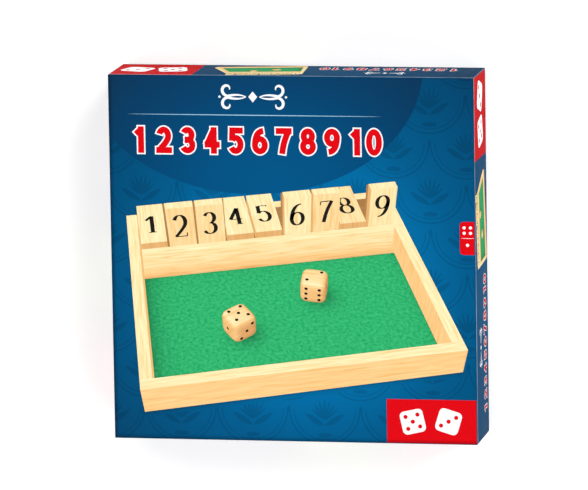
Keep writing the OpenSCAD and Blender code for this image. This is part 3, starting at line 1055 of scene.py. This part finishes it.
def dice_tray_picture(inks, plane, centre, scale, level, fine=1.0):
    """Picture of an oblong wooden dice tray: a row of number tiles behind it, green felt and two dice."""
    draw = Picture(inks, plane, centre, scale, level, fine)
    long, deep, wall, thick, felt = TRAY_LONG, TRAY_DEEP, TRAY_WALL, TRAY_THICK, TRAY_FELT
    shadow_under(draw, long, deep)
    draw.level += 1
    draw.box((-long, deep - thick, 0), (long, deep, wall), gloom=wall_gloom)
    draw.level += 1
    draw.panel((-long, RAIL_BACK, felt), (2 * long, 0, 0), (0, deep - RAIL_BACK, 0), GAP_TONE, ink="felt")
    draw.panel(
        (-long, -deep, felt), (2 * long, 0, 0), (0, deep + RAIL_BACK, 0), 1.0, ink="felt", gloom=felt_gloom,
        steps=(40, 50),
    )
    draw.level += 1
    draw.panel((long - thick, deep, 0), (0, -2 * deep, 0), (0, 0, wall), 0.76, gloom=wall_gloom)
    draw.panel((-long + thick, -deep, 0), (0, 2 * deep, 0), (0, 0, wall), 0.84, gloom=wall_gloom)
    for x, y, turn, values in DRAWN_DICE:
        draw.die((x, y, felt + DRAWN_DIE / 2), DRAWN_DIE, turn, values)
    draw.level += 1
    draw.box((long - thick, WALLS_PARTED, 0), (long, deep, wall), tones=WALL_TONES, grain=1)
    draw.level += 1
    for k in reversed(range(TRAY_TILES)):
        drawn_tile(draw, k, 2 * (long - thick) / TRAY_TILES)
    draw.level += 1
    rail_front = (-long + thick, RAIL_BACK - RAIL_THICK, felt)
    draw.box(rail_front, (long - thick, RAIL_BACK, RAIL_TOP), tones=(1.04, 0.96, 0.6), gloom=wall_gloom)
    draw.level += 1
    for x0, x1, back in ((-long, -long + thick, deep), (long - thick, long, WALLS_PARTED)):
        draw.box((x0, -deep, 0), (x1, back, wall), tones=WALL_TONES, grain=1)
    draw.level += 1
    draw.box((-long, -deep, 0), (long, -deep + thick, wall), tones=(1.04, 0.86, 0.74))


def shadow_under(draw, long, deep):
    """Soft shadow on the printed blue round the tray's foot, as rings from just inside it outwards.

    Each ring is the foot's outline plus a share of the spread, moved a little to the left and front.
    The shade is darkest at the foot and gone at the last ring.
    """
    under, spread, moved, darkest = 0.97, 0.05, np.array([-0.6, -2.2]), 0.30
    corners = np.array([[-long, -deep], [long, -deep], [long, deep], [-long, deep]], float)
    foot = np.concatenate([line(corners[k], corners[(k + 1) % 4], 12)[:-1] for k in range(4)])
    out = foot / np.abs(foot / (long, deep)).max(1, keepdims=True)
    share = np.linspace(0, 1, 7)
    rings = foot[None] * under + share[:, None, None] * (out * spread + moved)
    points = np.concatenate([rings, np.zeros(rings.shape[:2] + (1,))], -1)
    closed = np.concatenate([points, points[:, :1]], 1)
    shade = np.broadcast_to(darkest + (1 - darkest) * share[:, None] ** 0.7, closed.shape[:2])
    draw.patch("shadow", closed[::-1], np.zeros(closed.shape[:2] + (2,)), shade[::-1])


# ---------------------------------------------------------------- print: the whole lid
NUMBERS = [str(k) for k in range(1, 11)]

# Printed layers on the face, counted from the paper. The pattern takes the first ones for itself.
FANS, BLOCKS, MARKS, HEADER_SIGNS = 1, 6, 7, 8
WALL_BLOCKS, WALL_MARKS = 1, 2  # and on the walls, which have no pattern


def print_cover(inks):
    """The printed face: pattern, header oval, ornament, row of numbers, picture, red block and badge.

    All places are millimetres from the face's lower left corner.
    """
    high = SIDE - EDGE
    left, right = 20.0, 233.5  # ends of the row of numbers; the pale line ends at its right too
    scallops(inks["fans"], COVER, FANS)
    header(inks["header"], COVER, BLOCKS)
    fading_line(inks["pale"], COVER, 15.4, right, height=278.1, breadth=0.75, level=HEADER_SIGNS)
    flourish(inks["white"], COVER, (124.0, 293.6), breadth=58.0, level=HEADER_SIGNS)
    number_row(
        NUMBERS, left=left, right=right, base=245.0, height=22.6, weight=5.2, gap=1.6, outline=1.15,
        inks=(inks["red"], inks["white"]), plane=COVER, level=HEADER_SIGNS,
    )
    dice_tray_picture(inks, COVER, (145.5, 122.5), scale=1.045, level=MARKS)
    block_left, block_top = 234.4, 38.1
    block = np.array([[block_left, EDGE], [high, EDGE], [high, block_top], [block_left, block_top]])
    inks["red"].shape(COVER, block, BLOCKS)
    for middle, turn, value in (((256.5, 19.0), 0.22, 5), ((287.0, 19.6), -0.30, 3)):
        die_mark(inks["white"], inks["red"], COVER, middle, 20.0, turn, value, MARKS)
    past_edge = SIDE + 6
    badge = rounded_block((298.5, 162.0), (past_edge, 190.0), radius=3.0)
    inks["red"].shape(COVER, np.clip(badge, EDGE, high), BLOCKS)
    fading_line(inks["white"], COVER, 299.5, 310.5, height=176.0, breadth=0.4, level=MARKS)
    pip = (1.35, 1.35)
    for place in ((302.2, 185.0), (307.6, 185.0), (302.2, 180.4), (307.6, 180.4), (304.9, 170.2)):
        inks["white"].shape(COVER, oval(place, pip, 20), MARKS)


def print_wall(inks, quarter):
    """One side wall: a small row of numbers and ornament, a small picture and the red block.

    All places are millimetres from the wall's left edge and from the floor.
    """
    plane = wall_plane(quarter)
    low, high = RIM / MM + 1.6, TOP / MM - EDGE
    left, right = 240.0, SIDE - EDGE
    number_row(
        NUMBERS, left=20.0, right=138.0, base=12.0, height=13.2, weight=2.6, gap=1.2, outline=0.65,
        inks=(inks["red"], inks["white"]), plane=plane, level=WALL_MARKS,
    )
    flourish(inks["white"], plane, (79.0, 41.0), breadth=34.0, level=WALL_MARKS)
    dice_tray_picture(inks, plane, (184.0, 33.5), scale=0.29, level=WALL_MARKS, fine=0.45)
    inks["red"].shape(plane, np.array([[left, low], [right, low], [right, high], [left, high]]), WALL_BLOCKS)
    for middle, turn, value in (((262.0, 32.5), 0.22, 5), ((292.0, 33.5), -0.30, 3)):
        die_mark(inks["white"], inks["red"], plane, middle, 24.0, turn, value, WALL_MARKS)


def print_lid():
    """All the lid's inks, one piece each."""
    inks = {
        "fans": Ink("fans", FINISHES["fans"]),
        "header": Ink("header", FINISHES["header"]),
        "shadow": Ink("shadow", FINISHES["shadow"]),
        "pale": Ink("pale_line", FINISHES["pale ink"]),
        "white": Ink("white", FINISHES["white ink"]),
        "red": Ink("red", FINISHES["red ink"]),
        "black": Ink("black", FINISHES["black ink"]),
        "wood": Ink("wood", FINISHES["printed wood"]),
        "felt": Ink("felt", FINISHES["printed felt"]),
    }
    print_cover(inks)
    for quarter in range(4):
        print_wall(inks, quarter)
    for ink in inks.values():
        ink.make()


# ---------------------------------------------------------------- numbers, pips and felt of the game
PAINT = 0.01 * MM  # thickness of painted numbers and pips


def tile_numbers():
    """Black serif numbers printed on both broad faces of each tile, near its free end."""
    height = 12.5
    above = 0.012  # paint's outer face over the wood, millimetres
    for name in TILES:
        low, high = (np.array(v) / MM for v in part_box(name))
        _, side_name, tile_number = name.split("_")
        number = str(int(tile_number))
        quarter = SIDES.index(side_name)
        c, s = round(math.cos(quarter * math.pi / 2)), round(math.sin(quarter * math.pi / 2))
        right, inward = np.array([c, s, 0.0]), np.array([-s, c, 0.0])
        pivot = np.array(JOINTS[name]["pos_m"]) / MM
        thick = high[2] - low[2]
        reach = abs(((low + high) / 2 - pivot) @ inward) * 2 - thick / 2
        pitch = height * (0.46 if len(number) > 1 else 0.60)
        points, faces, count = [], [], 0
        for side, far in ((1, reach * 0.60), (-1, reach * 0.66)):
            up = inward * side
            centre = pivot - inward * far + np.array([0, 0, side * (thick / 2 + above)])
            for a, b in serif_number(number, height, pitch, 0.93):
                band = np.stack([a, b], 1).reshape(-1, 2)
                points.append(centre + band[:, :1] * right + band[:, 1:] * up)
                faces += [[k + count for k in quad] for quad in grid_faces(len(a), 2)]
                count += len(band)
        label = name.replace("tile", "number")
        made = piece(label, np.concatenate(points) * MM, faces, FINISHES["black ink"], name)
        thicken(made, PAINT)


def die_pips(name, place, turn, tip):
    """Black paint in a die's dimples: 21 shallow bowls, just above the wood.

    Each bowl is a cap of the dimple's own ball, its rim on the die's face.
    """
    low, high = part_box(name)
    size = (high.z - low.z) / MM
    pip_radius, depth, spread = 1.3, 0.5, 3.7
    above = 0.02  # paint over the dimple's wood, so that it shows
    ball = (pip_radius**2 + depth**2) / (2 * depth)
    rings, per_ring = 5, 16
    angle, around = np.meshgrid(
        np.linspace(0.0, math.asin(pip_radius / ball), rings),
        np.linspace(0, 2 * math.pi, per_ring + 1)[:-1],
        indexing="ij",
    )
    cap = np.stack([np.sin(angle) * np.cos(around), np.sin(angle) * np.sin(around), -np.cos(angle)], -1)
    cap *= ball
    cap[..., 2] += size / 2 + ball - depth + above
    cap = cap.reshape(-1, 3)
    quads = grid_faces(rings, per_ring, wrap=True)
    face_turns = [(0, 0), (90, 0), (0, 90), (0, -90), (-90, 0), (180, 0)]  # about x, then y, for 1 to 6
    points, faces = [], []
    for value, (x_turn, y_turn) in enumerate(face_turns, start=1):
        face = Matrix.Rotation(math.radians(y_turn), 3, "Y") @ Matrix.Rotation(math.radians(x_turn), 3, "X")
        for step in pip_places(value):
            moved = cap + np.array([*(step * spread), 0])
            faces += [[k + len(points) * len(cap) for k in quad[::-1]] for quad in quads]
            points.append(moved @ np.array(face).T)
    whole = Matrix.Rotation(turn, 3, "Z") @ Matrix.Rotation(tip, 3, "X")
    middle = np.array([*place, (low.z + high.z) / 2 / MM])
    points = (np.concatenate(points) @ np.array(whole).T + middle) * MM
    made = piece("pips_" + name[-1], points, faces, FINISHES["pip paint"], name, smooth=True)
    thicken(made, PAINT)


def felt_patch(x0, y0, x1, y1, bottom, top):
    """Points and faces of one felt patch, a closed sheet with soft cut edges and a slightly uneven nap.

    Its height is the felt's, less a quarter circle at the edge, plus two crossed waves of a few hundredths.
    """
    soft = np.array([0.0, 0.12, 0.35])  # insets of the mesh's lines along a soft edge
    edge_radius, mesh_step, inner = 0.5, 2.4, 0.8
    settled, wave = 0.04, 0.03  # the nap lies this much under the felt's top, and swings by this much
    columns, rows = int((x1 - x0) / mesh_step) + 5, int((y1 - y0) / mesh_step) + 5
    x = np.concatenate([x0 + soft, np.linspace(x0 + inner, x1 - inner, columns - 6), x1 - soft[::-1]])
    y = np.concatenate([y0 + soft, np.linspace(y0 + inner, y1 - inner, rows - 6), y1 - soft[::-1]])
    px, py = np.meshgrid(x, y, indexing="xy")
    inset = np.minimum.reduce([px - x0, x1 - px, py - y0, y1 - py])
    into_edge = edge_radius - np.clip(inset, 0, edge_radius)
    drop = edge_radius - np.sqrt(np.clip(edge_radius**2 - into_edge**2, 0, None))
    nap = wave * np.sin(px * 0.9 + np.sin(py * 0.31)) * np.sin(py * 1.1 + 2 * np.sin(px * 0.23))
    surface = top - drop - settled + nap * (inset > edge_radius)
    sheet = np.stack([px, py, surface], -1).reshape(-1, 3)
    base = np.stack([px, py, np.full(px.shape, bottom)], -1).reshape(-1, 3)
    quads = np.array(grid_faces(rows, columns))
    cells = rows * columns
    edge = np.concatenate([
        np.arange(columns - 1),
        np.arange(columns - 1, cells - 1, columns),
        np.arange(cells - 1, cells - columns, -1),
        np.arange(cells - columns, 0, -columns),
    ])
    after = np.roll(edge, -1)
    skirt = np.stack([edge, edge + cells, after + cells, after], -1)
    return np.concatenate([sheet, base]), np.concatenate([quads, quads[:, ::-1] + cells, skirt])


def felt_lining():
    """The nine felt patches, between the frame's rails and in the corner wells, as one piece."""
    low, high = (np.array(v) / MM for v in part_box("felt_lining"))
    rail = np.array(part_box("rail_left")) / MM
    outer, trim = high[0], 0.2
    inside, past = abs(rail[1][0]) - trim, abs(rail[0][0]) + trim
    spans = ((-outer, -past), (-inside, inside), (past, outer))
    points, faces, count, area = [], [], 0, 0.0
    for x0, x1 in spans:
        for y0, y1 in spans:
            patch, patch_faces = felt_patch(x0, y0, x1, y1, low[2], high[2])
            faces += (patch_faces + count).tolist()
            points.append(patch)
            count += len(patch)
            area += (x1 - x0) * (y1 - y0) * MM * MM
    whole = np.concatenate(points) * MM
    made = piece("felt_patches", whole, faces, FINISHES["felt"], "board", smooth=True)
    made.data.set_sharp_from_angle(angle=math.radians(60))
    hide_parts("felt_lining")


# ---------------------------------------------------------------- finishes by piece
TILE_PITCH = 17.8  # from one tile to the next, millimetres
TILE_LIGHT, TILE_DARK = (0.93, 0.73, 0.46), (0.80, 0.54, 0.27)
FINISHES = {
    "ground": ground_finish("printed blue"),
    "fans": ground_finish("printed blue pattern", tone=0.80),
    "header": ground_finish("printed navy", stops=HEADER_STOPS, glow=HEADER_GLOW, by_shade=True),
    "shadow": ground_finish("printed shadow", by_shade=True),
    "pale ink": ink_finish("pale blue ink", (0.30, 0.52, 0.68)),
    "white ink": ink_finish("white ink", (0.86, 0.88, 0.89), 0.02, tone=0.9),
    "red ink": ink_finish("red ink", (0.66, 0.002, 0.006)),
    "black ink": ink_finish("black ink", (0.012, 0.011, 0.010), 0.1, 0.5),
    "printed wood": printed_wood(),
    "printed felt": printed_felt(),
    "pip paint": ink_finish("pip paint", (0.010, 0.009, 0.009), 0.1, 0.35),
    "felt": felt_finish(),
    "greyboard": card_finish("greyboard", (0.44, 0.41, 0.36), (0.30, 0.27, 0.23)),
    "white paper": card_finish("white paper", (0.86, 0.86, 0.83), (0.78, 0.78, 0.75)),
    "tray paper": ground_finish("tray blue paper", pale=0.0),
    "steel": steel_finish(),
    "dice wood": wood_finish("dice wood", 0, light=(0.88, 0.64, 0.36), dark=(0.76, 0.48, 0.23)),
    "plywood": wood_finish("plywood", 0, light=(0.78, 0.58, 0.36), dark=(0.66, 0.45, 0.25)),
    "wood_x": wood_finish("pale wood across", 0),
    "wood_y": wood_finish("pale wood along", 1),
    "tile_x": wood_finish("tile wood across", 0, light=TILE_LIGHT, dark=TILE_DARK, pitch=TILE_PITCH),
    "tile_y": wood_finish("tile wood along", 1, light=TILE_LIGHT, dark=TILE_DARK, pitch=TILE_PITCH),
}


PLAIN = {
    "tray_greyboard": "greyboard",
    "lid_greyboard": "greyboard",
    "tray_wrap": "tray paper",
    "tray_bottom_sheet": "tray paper",
    "rules_leaflet": "white paper",
    "lid_wrap": "ground",
    "base_panel": "plywood",
    "felt_lining": "felt",
    "tile_rods": "steel",
    "die_a": "dice wood",
    "die_b": "dice wood",
}


def finish_of(name):
    """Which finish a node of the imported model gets. Grain runs along a rail, and out from it in a tile."""
    across = name.split("_")[1] in ("front", "back")
    if name.startswith(("frame_", "rail_")):
        return "wood_x" if across else "wood_y"
    if name in TILES:
        return "tile_y" if across else "tile_x"
    return PLAIN[name]


for name, made in frame["nodes"].items():
    made.data.materials.clear()
    made.data.materials.append(FINISHES[finish_of(name)])

lid_paper()
print_lid()
tile_numbers()
die_pips("die_a", (-30, 8), math.radians(14), 0.0)
die_pips("die_b", (27, 34), math.radians(-22), math.pi / 2)
felt_lining()


# ---------------------------------------------------------------- floor, light and camera
def floor():
    """Plain pale floor, wide enough for every view."""
    reach = 5.0
    corners = [(-reach, -reach, 0), (reach, -reach, 0), (reach, reach, 0), (-reach, reach, 0)]
    mesh = bpy.data.meshes.new("floor")
    mesh.from_pydata(corners, [], [(0, 1, 2, 3)])
    made = bpy.data.objects.new("floor", mesh)
    bpy.context.scene.collection.objects.link(made)
    finish, _, shader = new_finish("pale floor", 0.9, 0.1)
    shader.inputs["Base Color"].default_value = (0.93, 0.93, 0.93, 1)
    shader.inputs["Emission Color"].default_value = (1, 1, 1, 1)
    shader.inputs["Emission Strength"].default_value = 0.30
    mesh.materials.append(finish)


def lamp(name, place, size, power):
    """Square soft white light aimed at the box."""
    data = bpy.data.lights.new(name, "AREA")
    data.size = size
    data.energy = power
    made = bpy.data.objects.new(name, data)
    made.location = place
    made.rotation_mode = "QUATERNION"
    made.rotation_quaternion = (Vector((0, 0, 0.03)) - Vector(place)).to_track_quat("-Z", "Y")
    bpy.context.scene.collection.objects.link(made)


def camera():
    """Long lens over the lid, a little to its right and above, as the photograph looks at it."""
    place = Vector((1.091, 0.9913, 5.8161))
    target = Vector((-0.0048, 0.0069, 0.032))
    roll = 0.0162  # of the picture, in radians
    sensor, narrowness = 36.0, 12.0088  # the lens is this many times as long as the sensor is wide
    data = bpy.data.cameras.new("camera")
    data.sensor_width = sensor
    data.lens = sensor * narrowness
    data.clip_end = 100.0
    made = bpy.data.objects.new("camera", data)
    back = (place - target).normalized()
    right = Vector((math.sin(roll), math.cos(roll), 0)).cross(back).normalized()
    up = back.cross(right)
    turn = Matrix((right, up, back)).transposed()
    made.matrix_world = Matrix.Translation(place) @ turn.to_4x4()
    bpy.context.scene.collection.objects.link(made)
    bpy.context.scene.camera = made


def studio():
    """White room with a dark ceiling: the light falls from full near the horizon to almost none overhead."""
    world = bpy.data.worlds.new("studio")
    bpy.context.scene.world = world
    world.use_nodes = True
    tree = world.node_tree
    height = parts(tree, node(tree, "TexCoord", out="Generated"))[2]
    light = ramp(tree, height, (0.0, (1, 1, 1)), (0.45, (0.9, 0.9, 0.9)), (0.80, (0.03, 0.03, 0.03)))
    back = tree.nodes["Background"]
    tree.links.new(light, back.inputs["Color"])
    back.inputs["Strength"].default_value = 1.0


floor()
studio()
lamp("key", place=(4.6, 4.2, 4.6), size=4.4, power=430)
lamp("fill", place=(-4.8, -4.4, 4.4), size=4.4, power=330)
lamp("side_right", place=(5.0, -4.0, 4.0), size=3.6, power=110)
lamp("side_left", place=(-4.6, 4.8, 4.0), size=3.6, power=70)
bpy.context.scene.view_settings.view_transform = "Standard"
camera()
